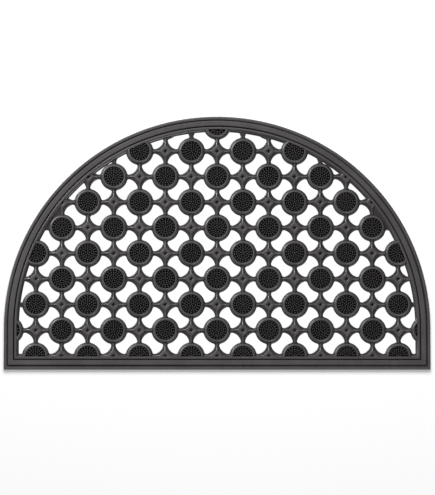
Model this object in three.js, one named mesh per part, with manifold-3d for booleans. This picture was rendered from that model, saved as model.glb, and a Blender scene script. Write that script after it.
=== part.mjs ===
// Half-round openwork rubber doormat, moulded in one piece.
// Millimetres, +Z up. The origin is on the floor under the middle of the mat. The straight
// front edge faces -Y and the half-round back edge faces +Y.
import * as THREE from "three";
import { mergeVertices } from "three/addons/utils/BufferGeometryUtils.js";
import Module from "manifold-3d";

const wasm = await Module();
wasm.setup();

// Outline: a straight front, two short straight sides and a half-round back
const WIDTH = 750;
const RADIUS = WIDTH / 2;
const SIDE = 75;
const DEPTH = SIDE + RADIUS;
const FRONT_Y = -DEPTH / 2;
const ARC_Y = FRONT_Y + SIDE;
const ARC_STEPS = 36;

// Heights above the floor
const WEB_TOP = 5;
const RECESS_FLOOR = 3.5;
const RIM_TOP = 9.5;
const PAD_TOP = 7;
const PIT_FLOOR = 3;
const ROOT = 2;
const POCKET_FLOOR = 2.5;

// Cutters run past both faces of the mat
const BELOW_ALL = -1;
const ABOVE_ALL = 12;
const WELD = 1e-4;

// Border: three rails that follow the outline, each at its inset from the edge
const RAILS = [
  { name: "outer lip", inset: 0, width: 4.7, top: 7.5 },
  { name: "raised band", inset: 7, width: 8.2, top: 10 },
  { name: "inner lip", inset: 17.8, width: 3.8, top: 8.5 },
];
const FIELD_INSET = 21;
const HOLE_INSET = 26.5;

// Lattice: discs and star pads take turns on a square grid, and a hole opens in each square
const PITCH = 45.55;
const FIRST_ROW = 23.9;
const ROWS = 10;
const HALF_COLUMNS = 8;
const LEAST_DISC_INSET = 5;
const LEAST_PAD_INSET = 24;

// Pin disc: a recess inside a raised rim with a sloping outer side
const DISC_STEPS = 10;
const RECESS_RADIUS = 17.3;
const RIM_RADIUS = 19;
const RIM_FOOT = 22.4;
const POCKET_RADIUS = 18.4;

// Star pad: a raised square set on its corner, with a pyramid pit in the middle
const PAD_SIDES = 4;
const PAD_RADIUS = 10;
const PAD_FOOT = 11.5;
const PIT_RADIUS = 5;

// Hole: a round opening that the two discs beside it bite into. The smallest is an area.
const HOLE_RADIUS = 19.3;
const BITE_RADIUS = 24.2;
const OUTER_ARC_STEPS = 3;
const BITE_ARC_STEPS = 2;
const SMALLEST_HOLE = 60;
const DIAGONAL = 45;

const RUBBER = new THREE.MeshStandardMaterial({
  color: 0x4a494b,
  roughness: 0.75,
  metalness: 0,
  flatShading: true,
});

// Turns a closed geometry into a solid that can be joined and cut.
function solid(geometry) {
  geometry.deleteAttribute("normal");
  geometry.deleteAttribute("uv");
  const merged = mergeVertices(geometry, WELD);
  return new wasm.Manifold(
    new wasm.Mesh({
      numProp: 3,
      vertProperties: new Float32Array(merged.attributes.position.array),
      triVerts: new Uint32Array(merged.index.array),
    }),
  );
}

// Joins a list of solids into one.
function join(solids) {
  return wasm.Manifold.union(solids);
}

// The mat's outline, drawn inwards by inset.
function outline(inset, PathType = THREE.Shape) {
  const path = new PathType();
  const radius = RADIUS - inset;
  path.moveTo(-radius, FRONT_Y + inset);
  path.lineTo(radius, FRONT_Y + inset);
  path.absarc(0, ARC_Y, radius, 0, Math.PI, false);
  return path;
}

// An upright prism of a shape, from one height to another.
function prism(shape, low, high) {
  const options = { depth: high - low, curveSegments: ARC_STEPS / 2, bevelEnabled: false };
  return solid(new THREE.ExtrudeGeometry(shape, options).translate(0, 0, low));
}

// One rail of the border, rooted in the web.
function rail({ inset, width, top }) {
  const shape = outline(inset);
  shape.holes.push(outline(inset + width, THREE.Path));
  return prism(shape, ROOT, top);
}

// A solid of revolution about the Z axis, from a profile of [radius, height] pairs.
function turned(profile, steps) {
  const points = profile.map(([radius, height]) => new THREE.Vector2(radius, height));
  return solid(new THREE.LatheGeometry(points, steps).rotateX(Math.PI / 2));
}

// The dish of one disc: a flat floor inside a roof-shaped rim, rooted in the web.
function dish() {
  const slope = (RIM_FOOT - RIM_RADIUS) / (RIM_TOP - WEB_TOP);
  const rootRadius = RIM_RADIUS + slope * (RIM_TOP - ROOT);
  return turned(
    [
      [0, ROOT],
      [rootRadius, ROOT],
      [RIM_RADIUS, RIM_TOP],
      [RECESS_RADIUS, RECESS_FLOOR],
      [0, RECESS_FLOOR],
    ],
    DISC_STEPS,
  );
}

// The room that a dish needs in the web.
function pocket() {
  return turned(
    [
      [0, POCKET_FLOOR],
      [POCKET_RADIUS, POCKET_FLOOR],
      [POCKET_RADIUS, ABOVE_ALL],
      [0, ABOVE_ALL],
    ],
    DISC_STEPS,
  );
}

// A raised square pad with sloping sides, its corners towards the discs.
function pad() {
  const slope = (PAD_FOOT - PAD_RADIUS) / (PAD_TOP - WEB_TOP);
  const rootRadius = PAD_RADIUS + slope * (PAD_TOP - ROOT);
  return turned(
    [
      [0, ROOT],
      [rootRadius, ROOT],
      [PAD_RADIUS, PAD_TOP],
      [0, PAD_TOP],
    ],
    PAD_SIDES,
  );
}

// The pyramid that is cut from the middle of a pad.
function pit() {
  const reach = (PIT_RADIUS * (ABOVE_ALL - PIT_FLOOR)) / (PAD_TOP - PIT_FLOOR);
  return turned(
    [
      [0, PIT_FLOOR],
      [reach, ABOVE_ALL],
      [0, ABOVE_ALL],
    ],
    PAD_SIDES,
  );
}

// Points along a circle's arc, without its last point.
function arcPoints(centreX, centreY, radius, from, to, steps) {
  return Array.from({ length: steps }, (_, k) => {
    const angle = from + ((to - from) * k) / steps;
    return new THREE.Vector2(centreX + radius * Math.cos(angle), centreY + radius * Math.sin(angle));
  });
}

// The outline of one hole, with its two discs along the X axis.
function holeShape() {
  const reach = PITCH / Math.SQRT2;
  const corner = Math.acos((reach ** 2 + HOLE_RADIUS ** 2 - BITE_RADIUS ** 2) / (2 * reach * HOLE_RADIUS));
  const bite = Math.asin((HOLE_RADIUS * Math.sin(corner)) / BITE_RADIUS);
  const half = Math.PI;
  return new THREE.Shape([
    ...arcPoints(0, 0, HOLE_RADIUS, corner, half - corner, OUTER_ARC_STEPS),
    ...arcPoints(-reach, 0, BITE_RADIUS, bite, -bite, BITE_ARC_STEPS),
    ...arcPoints(0, 0, HOLE_RADIUS, half + corner, 2 * half - corner, OUTER_ARC_STEPS),
    ...arcPoints(reach, 0, BITE_RADIUS, half + bite, half - bite, BITE_ARC_STEPS),
  ]);
}

// How far a place lies inside the outline.
function insetOf(x, y) {
  const fromSide = y < ARC_Y ? RADIUS - Math.abs(x) : RADIUS - Math.hypot(x, y - ARC_Y);
  return Math.min(fromSide, y - FRONT_Y);
}

// Every crossing of the lattice, with discs where the row and column add up to an odd number.
const crossings = [];
for (let row = 0; row < ROWS; row += 1) {
  for (let column = -HALF_COLUMNS; column <= HALF_COLUMNS; column += 1) {
    const x = column * PITCH;
    const y = FRONT_Y + FIRST_ROW + row * PITCH;
    crossings.push({ x, y, inset: insetOf(x, y), isDisc: (row + column) % 2 !== 0 });
  }
}
const discs = crossings.filter(({ isDisc, inset }) => isDisc && inset > LEAST_DISC_INSET);
const pads = crossings.filter(({ isDisc, inset }) => !isDisc && inset > LEAST_PAD_INSET);

// Copies of one solid at a list of places, cut off where the border covers them.
function repeat(one, places) {
  const field = prism(outline(FIELD_INSET), BELOW_ALL, ABOVE_ALL);
  return join(places.map(({ x, y }) => one.translate([x, y, 0]))).intersect(field);
}

// The holes of the field, cut off at the border, without the slivers that stay closed.
function holes() {
  const upright = prism(holeShape(), BELOW_ALL, ABOVE_ALL);
  const room = prism(outline(HOLE_INSET), BELOW_ALL, ABOVE_ALL);
  const smallest = SMALLEST_HOLE * (ABOVE_ALL - BELOW_ALL);
  const cutters = crossings.flatMap(({ x, y, isDisc }) =>
    upright
      .rotate([0, 0, isDisc ? DIAGONAL : -DIAGONAL])
      .translate([x + PITCH / 2, y + PITCH / 2, 0])
      .intersect(room)
      .decompose(),
  );
  return join(cutters.filter((cutter) => cutter.volume() > smallest));
}

// The whole mat: web, discs, pads and rails, then the holes through them.
function mat() {
  const web = prism(outline(0), 0, WEB_TOP);
  const raised = web
    .subtract(repeat(pocket(), discs))
    .add(repeat(dish(), discs))
    .add(repeat(pad(), pads))
    .subtract(repeat(pit(), pads))
    .add(join(RAILS.map(rail)));
  const bodies = raised.subtract(holes()).decompose();
  return bodies.reduce((largest, body) => (body.volume() > largest.volume() ? body : largest));
}

// A mesh of a finished solid.
function meshOf(manifold, name, material) {
  const { vertProperties, triVerts } = manifold.getMesh();
  const geometry = new THREE.BufferGeometry();
  geometry.setAttribute("position", new THREE.BufferAttribute(vertProperties, 3));
  geometry.setIndex(new THREE.BufferAttribute(triVerts, 1));
  geometry.computeVertexNormals();
  const mesh = new THREE.Mesh(geometry, material);
  mesh.name = name;
  return mesh;
}

const doormat = new THREE.Group();
doormat.add(meshOf(mat(), "mat", RUBBER));

export default doormat;
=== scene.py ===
"""Half-round rubber doormat, moulded in one piece, with its pins and its studio.

The mat's classes give their sizes in millimetres, as a mould maker's drawing does, and a finished
piece is turned into metres as it is placed. The studio is in metres. The straight front edge faces
-Y, the half-round back edge faces +Y and the mat lies on the floor at zero height.
"""

from __future__ import annotations

import logging
import math
from dataclasses import dataclass, field
from enum import Enum
from typing import Iterable, NamedTuple

import bmesh
import bpy
from mathutils import Matrix, Vector


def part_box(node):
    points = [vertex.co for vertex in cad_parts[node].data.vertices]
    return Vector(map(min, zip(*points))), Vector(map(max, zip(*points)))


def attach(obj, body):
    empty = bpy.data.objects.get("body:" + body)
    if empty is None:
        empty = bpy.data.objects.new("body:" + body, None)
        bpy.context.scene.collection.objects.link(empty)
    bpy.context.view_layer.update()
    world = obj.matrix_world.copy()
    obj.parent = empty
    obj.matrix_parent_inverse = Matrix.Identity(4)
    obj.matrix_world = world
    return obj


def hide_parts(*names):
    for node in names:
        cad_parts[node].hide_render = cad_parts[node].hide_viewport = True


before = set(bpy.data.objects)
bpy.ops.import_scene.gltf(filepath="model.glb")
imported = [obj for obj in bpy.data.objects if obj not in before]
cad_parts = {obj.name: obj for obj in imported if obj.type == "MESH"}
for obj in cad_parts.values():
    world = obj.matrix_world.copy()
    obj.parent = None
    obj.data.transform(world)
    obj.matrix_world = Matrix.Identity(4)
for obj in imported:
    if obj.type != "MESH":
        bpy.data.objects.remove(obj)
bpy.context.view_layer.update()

MM = 0.001
log = logging.getLogger("doormat")

# Heights above the floor: the web's top, the level inside the web where raised forms are rooted,
# and two levels clear of the mat, between which it is cut
WEB_TOP = 5.0
ROOT = 1.0
BELOW_ALL = -1.0
ABOVE_ALL = 12.0

# Corners closer than this are one, while a shape is made and once it is finished
WELD = 0.005
FINAL_WELD = 0.01

# How many steps a plain rounding has, and the angle in degrees past which an edge stays crisp
ROUND_STEPS = 2
SHARP_ANGLE = 38.0

UP = (0.0, 0.0, 1.0)
MIDDLE = (0.0, 0.0, 0.0)
BLACK = (0.0, 0.0, 0.0, 1.0)
WHITE = (1.0, 1.0, 1.0, 1.0)


class Join(Enum):
    """How one solid meets another."""

    ADD = "UNION"
    CUT = "DIFFERENCE"
    KEEP_INSIDE = "INTERSECT"


class Rounds(Enum):
    """What a rounding takes the sharpness off."""

    CORNERS = "VERTICES"
    EDGES = "EDGES"


class Kind(Enum):
    """What stands on a crossing of the lattice."""

    DISC = "disc"
    PAD = "pad"


class Bend(NamedTuple):
    """One corner of a section: how far out, how high, and how far from it its rounding starts."""

    out: float
    height: float
    round: float


class Crossing(NamedTuple):
    """One crossing of the lattice, with what stands on it."""

    x: float
    y: float
    inset: float
    kind: Kind


class Ring(NamedTuple):
    """One ring of pins."""

    count: int
    radius: float


def only(items: Iterable[object], kind: type) -> list:
    """The items of one kind among those that an operator hands back."""
    return [item for item in items if isinstance(item, kind)]


def upright(x: float, y: float, turn: float = 0.0) -> Matrix:
    """A place on the mat, turned by an angle in degrees about the upright axis."""
    return Matrix.Translation((x, y, 0.0)) @ Matrix.Rotation(math.radians(turn), 4, "Z")


def soften(shape: bmesh.types.BMesh, geom: list, size: float, steps: int, what: Rounds) -> None:
    """Rounds some corners or edges of a shape in the making.

    Args:
        shape: The bmesh.
        geom: The corners or edges to round.
        size: How far from each of them the rounding starts.
        steps: How many faces or edges the rounding has.
        what: Whether corners or edges are rounded.
    """
    bmesh.ops.bevel(
        shape,
        geom=geom,
        offset=size,
        offset_type="OFFSET",
        segments=steps,
        profile=0.5,
        affect=what.value,
        material=-1,
    )


def extruded(shape: bmesh.types.BMesh, faces: list[bmesh.types.BMFace], rise: float) -> list:
    """Extrudes some faces of a shape in the making straight up or down.

    Args:
        shape: The bmesh.
        faces: The faces to extrude.
        rise: How far up the new faces go, or down where it is negative.

    Returns:
        The new faces.
    """
    new = bmesh.ops.extrude_face_region(shape, geom=faces)["geom"]
    bmesh.ops.translate(shape, vec=(0.0, 0.0, rise), verts=only(new, bmesh.types.BMVert))
    return only(new, bmesh.types.BMFace)


def section(bends: Iterable[Bend], closed: bool) -> bmesh.types.BMesh:
    """Draws a section as a wire in the XZ plane and rounds its corners.

    Args:
        bends: The corners in order, with the rounding of each.
        closed: Whether the last corner is joined to the first.

    Returns:
        A new bmesh with the wire alone.
    """
    wire = bmesh.new()
    bends = list(bends)
    corners = [wire.verts.new((bend.out, 0.0, bend.height)) for bend in bends]
    for start, end in zip(corners, corners[1:]):
        wire.edges.new((start, end))
    if closed:
        wire.edges.new((corners[-1], corners[0]))
    for size in sorted({bend.round for bend in bends if bend.round > 0}):
        alike = [corner for corner, bend in zip(corners, bends) if bend.round == size]
        soften(wire, alike, size, ROUND_STEPS, Rounds.CORNERS)
    return wire


class Solid:
    """A closed shape in the making, kept as a mesh in millimetres."""

    def __init__(self, name: str, shape: bmesh.types.BMesh) -> None:
        """Takes over a closed bmesh, welds it and turns its faces outwards.

        Args:
            name: The name of the shape.
            shape: The bmesh, which is freed.
        """
        bmesh.ops.remove_doubles(shape, verts=shape.verts, dist=WELD)
        bmesh.ops.recalc_face_normals(shape, faces=shape.faces)
        self.name = name
        self.mesh = bpy.data.meshes.new(name)
        shape.to_mesh(self.mesh)
        shape.free()

    def repeated(self, places: Iterable[Matrix]) -> Solid:
        """Joins copies of the solid that don't touch each other into one.

        Args:
            places: Where each copy stands.

        Returns:
            One solid with every copy.
        """
        many = bmesh.new()
        for place in places:
            copy = self.mesh.copy()
            copy.transform(place)
            many.from_mesh(copy)
            bpy.data.meshes.remove(copy)
        return Solid(self.name, many)

    def joined(self, other: Solid, how: Join) -> Solid:
        """Adds, cuts or crops this solid in place with another.

        Args:
            other: The other solid, which is used up.
            how: What to do with it.

        Returns:
            This solid, changed.
        """
        body = bpy.data.objects.new(self.name, self.mesh)
        tool = bpy.data.objects.new(other.name, other.mesh)
        bpy.context.scene.collection.objects.link(body)
        bpy.context.scene.collection.objects.link(tool)
        change = body.modifiers.new("join", "BOOLEAN")
        change.operation = how.value
        change.solver = "MANIFOLD"
        change.object = tool
        graph = bpy.context.evaluated_depsgraph_get()
        result = bpy.data.meshes.new_from_object(body.evaluated_get(graph))
        bpy.data.objects.remove(body)
        bpy.data.objects.remove(tool)
        bpy.data.meshes.remove(self.mesh)
        bpy.data.meshes.remove(other.mesh)
        self.mesh = result
        return self

    def placed(self, name: str) -> bpy.types.Object:
        """Turns the solid into a finished object in metres, with smooth shading.

        Args:
            name: The piece's name.

        Returns:
            The object, linked to the scene.
        """
        shape = bmesh.new()
        shape.from_mesh(self.mesh)
        bmesh.ops.remove_doubles(shape, verts=shape.verts, dist=FINAL_WELD)
        bmesh.ops.dissolve_degenerate(shape, edges=shape.edges, dist=WELD)
        bmesh.ops.scale(shape, vec=(MM, MM, MM), verts=shape.verts)
        for face in shape.faces:
            face.smooth = True
        limit = math.radians(SHARP_ANGLE)
        for edge in shape.edges:
            edge.smooth = len(edge.link_faces) == 2 and edge.calc_face_angle() < limit
        shape.to_mesh(self.mesh)
        shape.free()
        self.mesh.name = name
        piece = bpy.data.objects.new(name, self.mesh)
        bpy.context.scene.collection.objects.link(piece)
        return piece


def turned(name: str, bends: Iterable[Bend], steps: int) -> Solid:
    """Spins a section right round the upright axis.

    Args:
        name: The solid's name.
        bends: The section's corners, from the axis back to the axis.
        steps: How many faces go round.

    Returns:
        The closed solid.
    """
    shape = section(bends, closed=False)
    bmesh.ops.spin(
        shape,
        geom=shape.verts[:] + shape.edges[:],
        cent=MIDDLE,
        axis=UP,
        angle=2 * math.pi,
        steps=steps,
        use_merge=True,
    )
    return Solid(name, shape)


def well(name: str, radius: float, floor: float, steps: int) -> Solid:
    """Makes the room that a dish or a pit needs in the web, from its floor to above the mat.

    Args:
        name: The solid's name.
        radius: How wide the room is, from its axis to its corners.
        floor: The height of its floor.
        steps: How many sides it has.

    Returns:
        The closed solid that is cut from the web.
    """
    bends = [
        Bend(0.0, floor, 0.0),
        Bend(radius, floor, 0.0),
        Bend(radius, ABOVE_ALL, 0.0),
        Bend(0.0, ABOVE_ALL, 0.0),
    ]
    return turned(name, bends, steps)


@dataclass(frozen=True)
class Outline:
    """The mat's outline: a straight front, short straight sides and a half-round back."""

    radius: float
    front: float
    centre: float
    steps: int = 120

    @classmethod
    def of_node(cls, node: str) -> Outline:
        """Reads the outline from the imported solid's box.

        Args:
            node: The solid's name.

        Returns:
            The outline, in millimetres.
        """
        low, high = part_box(node)
        radius = (high[0] - low[0]) / 2 / MM
        return cls(radius=radius, front=low[1] / MM, centre=high[1] / MM - radius)

    def inset_of(self, x: float, y: float) -> float:
        """How far a place lies inside the outline."""
        across = abs(x) if y < self.centre else math.hypot(x, y - self.centre)
        return min(self.radius - across, y - self.front)

    def plate(self, name: str, inset: float, low: float, high: float) -> Solid:
        """Makes a plate of the outline, drawn inwards by an inset.

        Args:
            name: The plate's name.
            inset: How far inside the outline its edge runs.
            low: The height of its underside.
            high: The height of its top.

        Returns:
            The closed plate.
        """
        shape = bmesh.new()
        bmesh.ops.create_circle(
            shape,
            cap_ends=True,
            segments=2 * self.steps,
            radius=self.radius - inset,
            matrix=Matrix.Translation((0.0, self.centre, low)),
        )
        bmesh.ops.bisect_plane(
            shape,
            geom=shape.verts[:] + shape.edges[:] + shape.faces[:],
            dist=WELD,
            plane_co=(0.0, self.centre, 0.0),
            plane_no=(0.0, -1.0, 0.0),
            clear_outer=True,
        )
        chord = [
            edge
            for edge in shape.edges
            if all(abs(end.co.y - self.centre) < WELD for end in edge.verts)
        ]
        sides = bmesh.ops.extrude_edge_only(shape, edges=chord)["geom"]
        bmesh.ops.translate(
            shape,
            vec=(0.0, self.front + inset - self.centre, 0.0),
            verts=only(sides, bmesh.types.BMVert),
        )
        bmesh.ops.recalc_face_normals(shape, faces=shape.faces)
        extruded(shape, shape.faces[:], high - low)
        return Solid(name, shape)


@dataclass(frozen=True)
class Lattice:
    """The square lattice on which discs and star pads take turns."""

    outline: Outline
    pitch: float = 45.55
    first_row: float = 23.9
    rows: int = 10
    half_columns: int = 8

    def crossings(self) -> list[Crossing]:
        """Lists every crossing, row by row from the front.

        Returns:
            The crossings, also those outside the mat.
        """
        places = []
        for row in range(self.rows):
            for column in range(-self.half_columns, self.half_columns + 1):
                x = column * self.pitch
                y = self.outline.front + self.first_row + row * self.pitch
                kind = Kind.DISC if (row + column) % 2 else Kind.PAD
                places.append(Crossing(x, y, self.outline.inset_of(x, y), kind))
        return places

    def of_kind(self, kind: Kind, least_inset: float) -> list[Crossing]:
        """The crossings of one kind that lie far enough inside the outline."""
        return [spot for spot in self.crossings() if spot.kind is kind and spot.inset > least_inset]


@dataclass
class Border:
    """The stepped border: an outer lip, a raised band and an inner lip, with grooves between.

    Each corner of its profile is given by how far inside the outline it lies.
    """

    outline: Outline
    profile: tuple[Bend, ...] = (
        Bend(0.0, 0.0, 0.0),
        Bend(0.0, 7.4, 1.3),
        Bend(5.2, 7.4, 0.7),
        Bend(5.6, WEB_TOP, 0.5),
        Bend(7.3, WEB_TOP, 0.5),
        Bend(8.2, 9.9, 1.0),
        Bend(12.3, 9.5, 1.0),
        Bend(16.4, 9.9, 1.0),
        Bend(16.9, 4.5, 0.5),
        Bend(18.3, 4.5, 0.5),
        Bend(18.8, 8.6, 0.8),
        Bend(22.5, 8.6, 0.8),
        Bend(23.1, 5.7, 0.5),
        Bend(25.2, WEB_TOP, 0.7),
        Bend(26.5, 3.4, 0.5),
        Bend(26.5, 0.0, 0.0),
    )

    def mitre(self, side: float) -> Matrix:
        """The move that lays a section's end on the mitre of a front corner.

        Args:
            side: 1 at the right corner and -1 at the left one.

        Returns:
            The matrix, which sets Y from X alone.
        """
        place = Matrix.Identity(4)
        place[1][0] = -side
        place[1][1] = 0.0
        place[1][3] = self.outline.front + self.outline.radius
        return place

    def build(self) -> Solid:
        """Spins the section round the back and carries it down the sides and along the front.

        Returns:
            The closed border.
        """
        bends = [bend._replace(out=self.outline.radius - bend.out) for bend in self.profile]
        rail = section(bends, closed=True)
        back = (0.0, self.outline.centre, 0.0)
        bmesh.ops.translate(rail, vec=back, verts=rail.verts)
        start = rail.edges[:]
        spun = bmesh.ops.spin(
            rail,
            geom=rail.verts[:] + start,
            cent=back,
            axis=UP,
            angle=math.pi,
            steps=self.outline.steps,
            use_merge=False,
        )["geom_last"]
        right = self._run(rail, start, self.mitre(1.0))
        self._run(rail, only(spun, bmesh.types.BMEdge), self.mitre(-1.0))
        to_left = Matrix.Diagonal((-1.0, 1.0, 1.0, 1.0))
        self._run(rail, right, to_left)
        return Solid("border", rail)

    @staticmethod
    def _run(
        rail: bmesh.types.BMesh, ring: list[bmesh.types.BMEdge], move: Matrix
    ) -> list[bmesh.types.BMEdge]:
        """Carries one ring of the rail on to its next place.

        Args:
            rail: The rail's bmesh.
            ring: The edges of the ring to carry on.
            move: Where the new ring goes.

        Returns:
            The edges of the new ring.
        """
        new = bmesh.ops.extrude_edge_only(rail, edges=ring)["geom"]
        corners = only(new, bmesh.types.BMVert)
        bmesh.ops.transform(rail, matrix=move, verts=corners)
        return [
            edge
            for edge in only(new, bmesh.types.BMEdge)
            if all(end in corners for end in edge.verts)
        ]


@dataclass
class PinDisc:
    """A dish with a raised rim, in which the pins stand.

    Its profile runs from the middle of its floor over the rim and back below the floor.
    """

    profile: tuple[Bend, ...] = (
        Bend(0.0, 2.0, 0.0),
        Bend(17.3, 2.0, 0.0),
        Bend(17.5, 9.3, 0.5),
        Bend(20.7, 9.3, 1.3),
        Bend(21.7, 5.9, 0.5),
        Bend(22.5, 5.2, 0.3),
        Bend(22.8, ROOT, 0.0),
        Bend(0.0, ROOT, 0.0),
    )
    steps: int = 48
    pocket_radius: float = 18.6
    pocket_floor: float = 1.6

    def dish(self) -> Solid:
        """The dish itself, rooted in the web."""
        return turned("dish", self.profile, self.steps)

    def pocket(self) -> Solid:
        """The room that the dish needs in the web."""
        return well("disc pocket", self.pocket_radius, self.pocket_floor, self.steps)


@dataclass
class StarPad:
    """A raised square set on its corner, with a pyramid pit in the middle.

    Its profile runs from the bottom of the pit over the pad and back below the pit.
    """

    profile: tuple[Bend, ...] = (
        Bend(0.0, 2.8, 0.0),
        Bend(5.5, 6.7, 0.5),
        Bend(10.8, 6.7, 0.8),
        Bend(12.2, WEB_TOP, 0.4),
        Bend(12.5, ROOT, 0.0),
        Bend(0.0, ROOT, 0.0),
    )
    sides: int = 4
    pocket_radius: float = 7.5
    pocket_floor: float = 1.6

    def pad(self) -> Solid:
        """The pad with its pit, rooted in the web."""
        return turned("pad", self.profile, self.sides)

    def pocket(self) -> Solid:
        """The room that the pit needs in the web."""
        return well("pad pocket", self.pocket_radius, self.pocket_floor, self.sides)


@dataclass
class Neck:
    """The raised ridge on the web between a pad and a disc, along +X from the pad.

    Its turns are the directions in degrees in which a pad's four necks leave it.
    """

    start: float = 8.6
    length: float = 14.2
    foot: float = 2.1
    top: float = 1.3
    height: float = 6.5
    top_round: float = 0.6
    turns: tuple[float, ...] = (0.0, 90.0, 180.0, 270.0)

    def ridge(self) -> Solid:
        """Makes a bar with sloping sides and a rounded top, rooted in the web.

        Returns:
            The closed bar.
        """
        shape = bmesh.new()
        bmesh.ops.create_cube(shape, size=1.0)
        size = (self.length, 2 * self.foot, self.height - ROOT)
        bmesh.ops.scale(shape, vec=size, verts=shape.verts)
        middle = (self.start + self.length / 2, 0.0, (self.height + ROOT) / 2)
        bmesh.ops.translate(shape, vec=middle, verts=shape.verts)
        upper = [corner for corner in shape.verts if corner.co.z > WEB_TOP]
        bmesh.ops.scale(shape, vec=(1.0, self.top / self.foot, 1.0), verts=upper)
        crests = [edge for edge in shape.edges if self._is_crest(edge, upper)]
        soften(shape, crests, self.top_round, ROUND_STEPS, Rounds.EDGES)
        return Solid("ridge", shape)

    @staticmethod
    def _is_crest(edge: bmesh.types.BMEdge, upper: list[bmesh.types.BMVert]) -> bool:
        """Whether an edge is one of the two that run along the top."""
        start, end = edge.verts
        return start in upper and end in upper and abs(start.co.y - end.co.y) < WELD


@dataclass
class DrainHole:
    """A round drainage hole that the two discs beside it bite into, with its discs along X.

    An arc of its outline has a long step at each end, which is corner_share of the arc and leaves
    room for the rounding of the corner. A hole is left closed where its open area, counted on a
    grid with steps of one sample, is no more than smallest.
    """

    pitch: float
    radius: float = 19.3
    bite: float = 24.2
    corner_round: float = 4.3
    corner_steps: int = 3
    corner_share: float = 0.16
    edge_round: float = 1.5
    edge_steps: int = 3
    arc_steps: int = 8
    diagonal: float = 45.0
    smallest: float = 60.0
    sample: float = 1.0

    @property
    def reach(self) -> float:
        """From the hole's middle to the middle of a disc."""
        return self.pitch / math.sqrt(2)

    def holds(self, x: float, y: float) -> bool:
        """Whether a place lies in the hole, from the hole's own middle."""
        clear = all(math.hypot(x - side * self.reach, y) > self.bite for side in (-1, 1))
        return clear and math.hypot(x, y) < self.radius

    def cutter(self) -> Solid:
        """Makes the hole as a solid that flares out at the top, which rounds the hole's edge.

        Returns:
            The closed cutter.
        """
        shape = self._mouth()
        floor = extruded(shape, shape.faces[:], WEB_TOP - ABOVE_ALL)
        for step in range(self.edge_steps):
            before, after = (math.pi / 2 * k / self.edge_steps for k in (step, step + 1))
            bmesh.ops.inset_region(
                shape,
                faces=floor,
                thickness=self.edge_round * (math.sin(after) - math.sin(before)),
                depth=0.0,
                use_even_offset=True,
                use_boundary=True,
            )
            drop = self.edge_round * (math.cos(before) - math.cos(after))
            bmesh.ops.translate(shape, vec=(0.0, 0.0, -drop), verts=floor[0].verts[:])
        extruded(shape, floor, BELOW_ALL - WEB_TOP + self.edge_round)
        bmesh.ops.delete(shape, geom=floor, context="FACES_ONLY")
        return Solid("drain hole", shape)

    def _mouth(self) -> bmesh.types.BMesh:
        """Draws the hole's outline at its flared top.

        Returns:
            A bmesh with the outline as one face.
        """
        radius = self.radius + self.edge_round
        bite = self.bite - self.edge_round
        turn = math.acos((self.reach**2 + radius**2 - bite**2) / (2 * self.reach * radius))
        out = radius * math.cos(turn)
        along = radius * math.sin(turn)
        spread = 2 * math.asin(along / bite)
        wire = bmesh.new()
        for side in (1, -1):
            corner = (side * out, side * along, ABOVE_ALL)
            disc = (side * self.reach, 0.0, 0.0)
            self._arc(wire, corner, MIDDLE, math.pi - 2 * turn)
            self._arc(wire, corner, disc, spread)
        bmesh.ops.remove_doubles(wire, verts=wire.verts, dist=WELD)
        corners = [Vector((x, y, ABOVE_ALL)) for x in (out, -out) for y in (along, -along)]
        sharp = [vert for vert in wire.verts if min((vert.co - spot).length for spot in corners) < WELD]
        soften(wire, sharp, self.corner_round, self.corner_steps, Rounds.CORNERS)
        bmesh.ops.contextual_create(wire, geom=wire.edges[:])
        return wire

    def _arc(
        self,
        wire: bmesh.types.BMesh,
        start: tuple[float, float, float],
        centre: tuple[float, float, float],
        angle: float,
    ) -> None:
        """Draws one arc of the outline, with its long step at each end.

        Args:
            wire: The outline so far.
            start: Where the arc starts.
            centre: The arc's centre.
            angle: How far the arc turns.
        """
        end = [wire.verts.new(start)]
        middle = 1 - 2 * self.corner_share
        for share, count in ((self.corner_share, 1), (middle, self.arc_steps), (self.corner_share, 1)):
            last = bmesh.ops.spin(
                wire, geom=end, cent=centre, axis=UP, angle=angle * share, steps=count, use_merge=False
            )["geom_last"]
            end = only(last, bmesh.types.BMVert)

    def places(self, lattice: Lattice, border_width: float) -> list[Matrix]:
        """Where the holes are, without the slivers that the border leaves closed.

        Args:
            lattice: The lattice between whose crossings the holes lie.
            border_width: How far inside the outline the holes may reach.

        Returns:
            The place of each hole, turned towards its two discs.
        """
        found = []
        half = lattice.pitch / 2
        for spot in lattice.crossings():
            turn = self.diagonal if spot.kind is Kind.DISC else -self.diagonal
            place = upright(spot.x + half, spot.y + half, turn)
            if self._open_area(place, lattice.outline, border_width) > self.smallest:
                found.append(place)
        return found

    def _open_area(self, place: Matrix, outline: Outline, border_width: float) -> float:
        """How much of a hole stays open inside the border.

        Args:
            place: The hole's place.
            outline: The mat's outline.
            border_width: How far inside the outline the opening starts.

        Returns:
            The area in square millimetres, counted on a fine grid.
        """
        across = int(self.radius / self.sample)
        steps = [self.sample * k for k in range(-across, across + 1)]
        count = 0
        for x in steps:
            for y in steps:
                spot = place @ Vector((x, y, 0.0))
                if self.holds(x, y) and outline.inset_of(spot.x, spot.y) > border_width:
                    count += 1
        return count * self.sample**2


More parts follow.
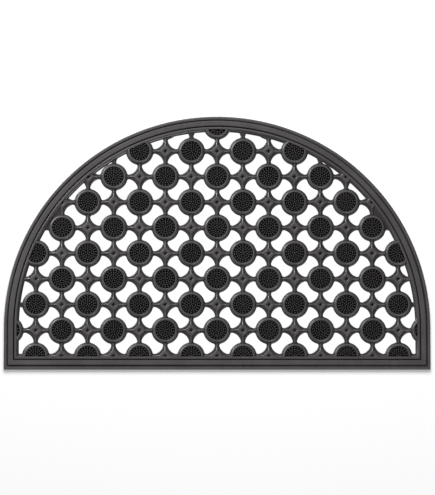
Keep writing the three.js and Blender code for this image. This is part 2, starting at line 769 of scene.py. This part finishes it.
@dataclass
class Pins:
    """The short rounded pins that stand in each disc, in rings round a middle pin."""

    rings: tuple[Ring, ...] = (
        Ring(1, 0.0),
        Ring(5, 3.8),
        Ring(11, 7.6),
        Ring(18, 11.2),
        Ring(18, 14.8),
    )
    radius: float = 1.15
    top_radius: float = 1.05
    foot: float = 1.5
    top: float = 9.0
    sides: int = 8
    tip_round: float = 0.35
    tip_steps: int = 1
    least_inset: float = 23.8

    def pin(self) -> Solid:
        """Makes one pin, a little slimmer at its rounded tip.

        Returns:
            The closed pin.
        """
        shape = bmesh.new()
        bmesh.ops.create_cone(
            shape,
            cap_ends=True,
            segments=self.sides,
            radius1=self.radius,
            radius2=self.top_radius,
            depth=self.top - self.foot,
            matrix=Matrix.Translation((0.0, 0.0, (self.top + self.foot) / 2)),
        )
        tip = [edge for edge in shape.edges if all(abs(end.co.z - self.top) < WELD for end in edge.verts)]
        soften(shape, tip, self.tip_round, self.tip_steps, Rounds.EDGES)
        return Solid("pin", shape)

    def places(self, discs: list[Crossing], outline: Outline) -> list[Matrix]:
        """Where the pins stand, without those that the border covers.

        Args:
            discs: The discs' crossings.
            outline: The mat's outline.

        Returns:
            The place of each pin.
        """
        found = []
        for disc in discs:
            for ring in self.rings:
                for k in range(ring.count):
                    angle = math.pi / 2 + 2 * math.pi * k / ring.count
                    x = disc.x + ring.radius * math.cos(angle)
                    y = disc.y + ring.radius * math.sin(angle)
                    if outline.inset_of(x, y) > self.least_inset:
                        found.append(upright(x, y))
        return found

    def build(self, discs: list[Crossing], outline: Outline) -> Solid:
        """All the pins of the mat as one mesh."""
        return self.pin().repeated(self.places(discs, outline))


@dataclass
class Mat:
    """The whole moulding: border, web, discs, pads, necks and pins.

    Each inset says how far inside the outline a part of the moulding starts or may stand.
    """

    outline: Outline
    web_inset: float = 20.0
    recess_inset: float = 22.7
    relief_inset: float = 22.0
    hole_inset: float = 26.5
    least_disc_inset: float = 5.0
    least_pad_inset: float = 15.0
    least_neck_inset: float = 14.0
    disc: PinDisc = field(default_factory=PinDisc)
    star: StarPad = field(default_factory=StarPad)
    neck: Neck = field(default_factory=Neck)
    pins: Pins = field(default_factory=Pins)

    def __post_init__(self) -> None:
        """Lays out the lattice on the outline."""
        self.lattice = Lattice(self.outline)
        self.discs = self.lattice.of_kind(Kind.DISC, self.least_disc_inset)
        self.pads = self.lattice.of_kind(Kind.PAD, self.least_pad_inset)

    def field_of(self, inset: float) -> Solid:
        """The room inside the border from a given inset."""
        return self.outline.plate("field", inset, BELOW_ALL, ABOVE_ALL)

    def web(self) -> Solid:
        """Makes the flat web with its rounded drainage holes.

        Returns:
            The web, whose edge ends inside the border.
        """
        hole = DrainHole(self.lattice.pitch)
        places = hole.places(self.lattice, self.hole_inset)
        log.info("drainage holes: %d", len(places))
        web = self.outline.plate("web", self.web_inset, 0.0, WEB_TOP)
        return web.joined(hole.cutter().repeated(places), Join.CUT)

    def pockets(self) -> Solid:
        """Makes the room in the web for every dish and pit, up to the inner lip.

        Returns:
            One solid to cut from the web.
        """
        for_discs = self.disc.pocket().repeated(self._places(self.discs))
        for_pads = self.star.pocket().repeated(self._places(self.pads))
        both = for_discs.joined(for_pads, Join.ADD)
        return both.joined(self.field_of(self.recess_inset), Join.KEEP_INSIDE)

    def relief(self) -> Solid:
        """Makes the dishes, pads and ridges, cut off where the inner lip passes.

        Returns:
            One solid to add to the web.
        """
        dishes = self.disc.dish().repeated(self._places(self.discs))
        pads = self.star.pad().repeated(self._places(self.pads))
        ridges = self.neck.ridge().repeated(self._neck_places())
        raised = pads.joined(ridges, Join.ADD).joined(dishes, Join.ADD)
        return raised.joined(self.field_of(self.relief_inset), Join.KEEP_INSIDE)

    @staticmethod
    def _places(spots: list[Crossing]) -> list[Matrix]:
        """The places of a list of crossings."""
        return [upright(spot.x, spot.y) for spot in spots]

    def _neck_places(self) -> list[Matrix]:
        """The place of each neck, from its pad towards each of the four discs round it."""
        pads = self.lattice.of_kind(Kind.PAD, self.least_neck_inset)
        return [upright(pad.x, pad.y, turn) for pad in pads for turn in self.neck.turns]

    def body(self) -> bpy.types.Object:
        """Joins the moulding's parts into one closed piece.

        Returns:
            The finished body in metres.
        """
        moulding = Border(self.outline).build()
        moulding.joined(self.web(), Join.ADD)
        moulding.joined(self.pockets(), Join.CUT)
        moulding.joined(self.relief(), Join.ADD)
        return moulding.placed("mat_body")

    def pin_field(self) -> bpy.types.Object:
        """The pins of all the discs as one piece."""
        return self.pins.build(self.discs, self.outline).placed("mat_pins")


class WearAndShadeTone(NamedTuple):
    """The rubber's colour at one height in millimetres: painted shade low down, paler wear on the high
    lands.
    """

    height: float
    color: tuple[float, float, float]


@dataclass(frozen=True)
class RubberFinish:
    """Matt black moulded rubber, rubbed a little paler on its high lands, with painted shade that darkens
    it in its recesses, grooves and hole edges.

    The heights are in millimetres. The scales count the clouds or grains in a metre, and the
    grain's depth is in metres.
    """

    # Painted shade by height: nearly black in the disc recesses and pits, dark in the grooves and at the
    # hole edges; the high lands are rubbed paler.
    wear_and_shade_tones: tuple[WearAndShadeTone, ...] = (
        WearAndShadeTone(3.4, (0.0065, 0.006, 0.0062)),
        WearAndShadeTone(4.5, (0.016, 0.0149, 0.0152)),
        WearAndShadeTone(5.0, (0.036, 0.0335, 0.0342)),
        WearAndShadeTone(6.6, (0.073, 0.0675, 0.0685)),
    )
    tallest: float = 10.0
    unevenness: float = 0.3
    ior: float = 1.5
    roughness_low: float = 0.22
    roughness_high: float = 0.34
    cloud_scale: float = 26.0
    cloud_detail: float = 5.0
    grain_scale: float = 2600.0
    grain_detail: float = 3.0
    grain_depth: float = 0.000012

    def material(self) -> bpy.types.Material:
        """Builds the node material.

        Returns:
            The rubber.
        """
        rubber = bpy.data.materials.new("rubber")
        rubber.use_nodes = True
        tree = rubber.node_tree
        shader = tree.nodes["Principled BSDF"]
        shader.inputs["IOR"].default_value = self.ior
        place = tree.nodes.new("ShaderNodeTexCoord").outputs["Object"]
        cloud = self._noise(tree, place, self.cloud_scale, self.cloud_detail)
        worn = self._spread(tree, cloud, 1.0 - self.unevenness, 1.0 + self.unevenness)
        tint = tree.nodes.new("ShaderNodeMix")
        tint.data_type = "RGBA"
        tint.blend_type = "MULTIPLY"
        tint.inputs["Factor"].default_value = 1.0
        # The colour by height, with shade painted into the low parts, times the random unevenness.
        tree.links.new(self._wear_and_shade_of_height(tree, place), tint.inputs["A"])
        tree.links.new(worn, tint.inputs["B"])
        tree.links.new(tint.outputs["Result"], shader.inputs["Base Color"])
        matt = self._spread(tree, cloud, self.roughness_low, self.roughness_high)
        tree.links.new(matt, shader.inputs["Roughness"])
        grain = self._noise(tree, place, self.grain_scale, self.grain_detail)
        bump = tree.nodes.new("ShaderNodeBump")
        bump.inputs["Distance"].default_value = self.grain_depth
        tree.links.new(grain, bump.inputs["Height"])
        tree.links.new(bump.outputs["Normal"], shader.inputs["Normal"])
        return rubber

    def _wear_and_shade_of_height(
        self, tree: bpy.types.NodeTree, place: bpy.types.NodeSocket
    ) -> bpy.types.NodeSocket:
        """Reads the rubber's colour off its tones by the height above the floor, which paints shade into
        the low recesses, grooves and hole edges.

        Args:
            tree: The material's nodes.
            place: Where on the piece the colour is wanted.

        Returns:
            The colour.
        """
        split = tree.nodes.new("ShaderNodeSeparateXYZ")
        tree.links.new(place, split.inputs[0])
        height = tree.nodes.new("ShaderNodeMapRange")
        height.inputs["From Max"].default_value = self.tallest * MM
        tree.links.new(split.outputs["Z"], height.inputs["Value"])
        ramp = tree.nodes.new("ShaderNodeValToRGB")
        stops = ramp.color_ramp.elements
        while len(stops) < len(self.wear_and_shade_tones):
            stops.new(1.0)
        for stop, tone in zip(stops, self.wear_and_shade_tones):
            stop.position = tone.height / self.tallest
            stop.color = (*tone.color, 1.0)
        tree.links.new(height.outputs["Result"], ramp.inputs["Fac"])
        return ramp.outputs["Color"]

    @staticmethod
    def _noise(
        tree: bpy.types.NodeTree, place: bpy.types.NodeSocket, scale: float, detail: float
    ) -> bpy.types.NodeSocket:
        """Adds a cloudy noise.

        Args:
            tree: The material's nodes.
            place: Where on the piece the noise is wanted.
            scale: How many of its clouds fit in a metre.
            detail: How many finer layers it has.

        Returns:
            The noise, from 0 to 1.
        """
        noise = tree.nodes.new("ShaderNodeTexNoise")
        noise.inputs["Scale"].default_value = scale
        noise.inputs["Detail"].default_value = detail
        tree.links.new(place, noise.inputs["Vector"])
        return noise.outputs["Fac"]

    @staticmethod
    def _spread(
        tree: bpy.types.NodeTree, value: bpy.types.NodeSocket, low: float, high: float
    ) -> bpy.types.NodeSocket:
        """Spreads a value between 0 and 1 over another range.

        Args:
            tree: The material's nodes.
            value: The value.
            low: What 0 becomes.
            high: What 1 becomes.

        Returns:
            The value in its new range.
        """
        spread = tree.nodes.new("ShaderNodeMapRange")
        spread.inputs["To Min"].default_value = low
        spread.inputs["To Max"].default_value = high
        tree.links.new(value, spread.inputs["Value"])
        return spread.outputs["Result"]


class Softbox(NamedTuple):
    """One rectangular softbox, which faces the middle of the mat."""

    name: str
    place: tuple[float, float, float]
    size: tuple[float, float]
    power: float


@dataclass
class Studio:
    """The pale floor, the soft lights and the camera.

    The sizes are in metres, apart from the lens and the panel's inset and heights, which are in
    millimetres. The camera's tilt from the upright is in degrees.
    """

    distance: float = 8.515
    tilt: float = 8.1
    target: tuple[float, float, float] = (0.0007, -0.0079, 0.0)
    lens: float = 351.2
    floor_size: float = 8.0
    floor_height: float = -0.0002
    floor_color: tuple[float, float, float] = (0.86, 0.86, 0.86)
    floor_glow: float = 0.38
    panel_inset: float = 12.0
    panel_heights: tuple[float, float] = (-0.19, -0.1)
    panel_glow: float = 1.02
    mat_boxes: tuple[Softbox, ...] = (
        Softbox("key", (-1.39, 1.25, 1.17), (1.2, 0.3), 62.0),
        Softbox("front", (0.9, -1.6, 1.9), (1.6, 1.0), 32.0),
        Softbox("back", (0.0, 1.67, 2.0), (1.8, 1.0), 10.0),
    )
    floor_boxes: tuple[Softbox, ...] = (Softbox("floor", (0.0, 2.0, 2.6), (2.6, 2.0), 112.0),)
    room_light: float = 0.1

    def camera(self) -> bpy.types.Object:
        """Looks down on the mat from the front, tilted a little towards the viewer.

        Returns:
            The camera.
        """
        data = bpy.data.cameras.new("camera")
        data.lens = self.lens
        camera = bpy.data.objects.new("camera", data)
        tilt = math.radians(self.tilt)
        away = Vector((0.0, -math.sin(tilt), math.cos(tilt))) * self.distance
        camera.location = Vector(self.target) + away
        camera.rotation_euler = (tilt, 0.0, 0.0)
        bpy.context.scene.collection.objects.link(camera)
        bpy.context.scene.camera = camera
        return camera

    @staticmethod
    def paint(name: str, color: tuple[float, ...], glow: float) -> bpy.types.Material:
        """Mixes a paint without gloss that gives off some white light of its own.

        Args:
            name: The paint's name.
            color: Its colour.
            glow: How strongly it glows.

        Returns:
            The paint.
        """
        paint = bpy.data.materials.new(name)
        paint.use_nodes = True
        shader = paint.node_tree.nodes["Principled BSDF"]
        shader.inputs["Base Color"].default_value = color
        shader.inputs["Specular IOR Level"].default_value = 0.0
        shader.inputs["Emission Color"].default_value = WHITE
        shader.inputs["Emission Strength"].default_value = glow
        return paint

    def floor(self) -> bpy.types.Object:
        """Lays a plain pale floor under the mat.

        Returns:
            The floor.
        """
        shape = bmesh.new()
        bmesh.ops.create_grid(shape, x_segments=1, y_segments=1, size=self.floor_size / 2)
        bmesh.ops.translate(shape, vec=(0.0, 0.0, self.floor_height), verts=shape.verts)
        mesh = bpy.data.meshes.new("floor")
        shape.to_mesh(mesh)
        shape.free()
        mesh.materials.append(self.paint("floor", (*self.floor_color, 1.0), self.floor_glow))
        floor = bpy.data.objects.new("floor", mesh)
        bpy.context.scene.collection.objects.link(floor)
        return floor

    def glow_panel(self, outline: Outline) -> bpy.types.Object:
        """Lays a thin glowing panel between the floor and the mat, which shows only in the holes.

        Args:
            outline: The mat's outline, inside which the panel stays.

        Returns:
            The panel.
        """
        plate = outline.plate("glow_panel", self.panel_inset, *self.panel_heights)
        panel = plate.placed("glow_panel")
        panel.data.materials.append(self.paint("glow panel", BLACK, self.panel_glow))
        panel.visible_diffuse = False
        panel.visible_glossy = False
        return panel

    @staticmethod
    def softbox(box: Softbox, lit: bpy.types.Collection) -> None:
        """Hangs one rectangular softbox that faces the mat.

        Args:
            box: The softbox's name, place, size and power.
            lit: What it lights.
        """
        data = bpy.data.lights.new(box.name, "AREA")
        data.shape = "RECTANGLE"
        data.size, data.size_y = box.size
        data.energy = box.power
        lamp = bpy.data.objects.new(box.name, data)
        lamp.location = box.place
        lamp.rotation_euler = (-Vector(box.place)).to_track_quat("-Z", "Y").to_euler()
        lamp.visible_camera = False
        lamp.light_linking.receiver_collection = lit
        bpy.context.scene.collection.objects.link(lamp)

    def lights(self, floor: bpy.types.Object, pieces: list[bpy.types.Object]) -> None:
        """Lights the mat from three sides and the floor from the back, in a dim room.

        Args:
            floor: The floor.
            pieces: The pieces of the mat.
        """
        for name, boxes, objects in (
            ("lit mat", self.mat_boxes, pieces),
            ("lit floor", self.floor_boxes, [floor]),
        ):
            lit = bpy.data.collections.new(name)
            for item in objects:
                lit.objects.link(item)
            for box in boxes:
                self.softbox(box, lit)
        world = bpy.data.worlds.new("room")
        world.use_nodes = True
        background = world.node_tree.nodes["Background"]
        background.inputs["Color"].default_value = WHITE
        background.inputs["Strength"].default_value = self.room_light
        bpy.context.scene.world = world

    def build(self, outline: Outline, pieces: list[bpy.types.Object]) -> None:
        """Sets up the camera, the floor and the lights round a finished mat.

        Args:
            outline: The mat's outline.
            pieces: The pieces of the mat.
        """
        self.camera()
        self.glow_panel(outline)
        self.lights(self.floor(), pieces)
        bpy.context.scene.view_settings.view_transform = "Standard"


def main() -> None:
    """Builds the mat and its studio, and attaches its pieces to one body."""
    logging.basicConfig(level=logging.INFO, format="%(name)s: %(message)s")
    outline = Outline.of_node("mat")
    mat = Mat(outline)
    rubber = RubberFinish().material()
    body = mat.body()
    pins = mat.pin_field()
    for piece in (body, pins):
        piece.data.materials.clear()
        piece.data.materials.append(rubber)
        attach(piece, "root")
        log.info("%s: %d faces", piece.name, len(piece.data.polygons))
    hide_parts("mat")
    Studio().build(outline, [body, pins])


if __name__ == "__main__":
    main()
